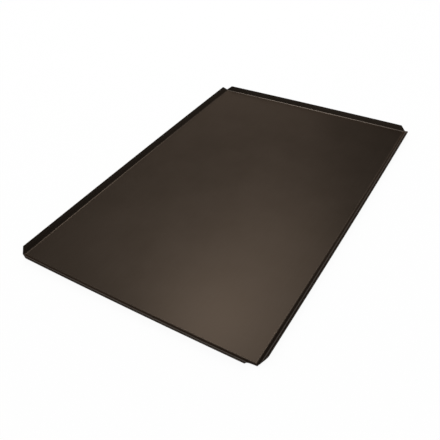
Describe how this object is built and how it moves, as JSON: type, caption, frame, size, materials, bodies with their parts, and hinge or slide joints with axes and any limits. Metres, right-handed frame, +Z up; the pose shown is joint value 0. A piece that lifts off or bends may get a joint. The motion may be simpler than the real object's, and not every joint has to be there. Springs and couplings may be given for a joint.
{
  "type": "cookie sheet",
  "caption": "Flat rectangular baking sheet of folded sheet steel with low flared lips on every side, open mitred corners and a dark non-stick baking face.",
  "frame": {"origin": "centre of the underside, where the sheet stands", "axes": "+X along the long side, +Y along the short side, +Z up from the underside towards the baking face"},
  "size_m": [0.6, 0.4, 0.0082],
  "materials": {
    "blackened_steel": "satin",
    "nonstick_coating": "satin"
  },
  "bodies": {
    "root": {"steel_sheet": "blackened_steel", "nonstick_coating": "nonstick_coating"}
  },
  "joints": []
}
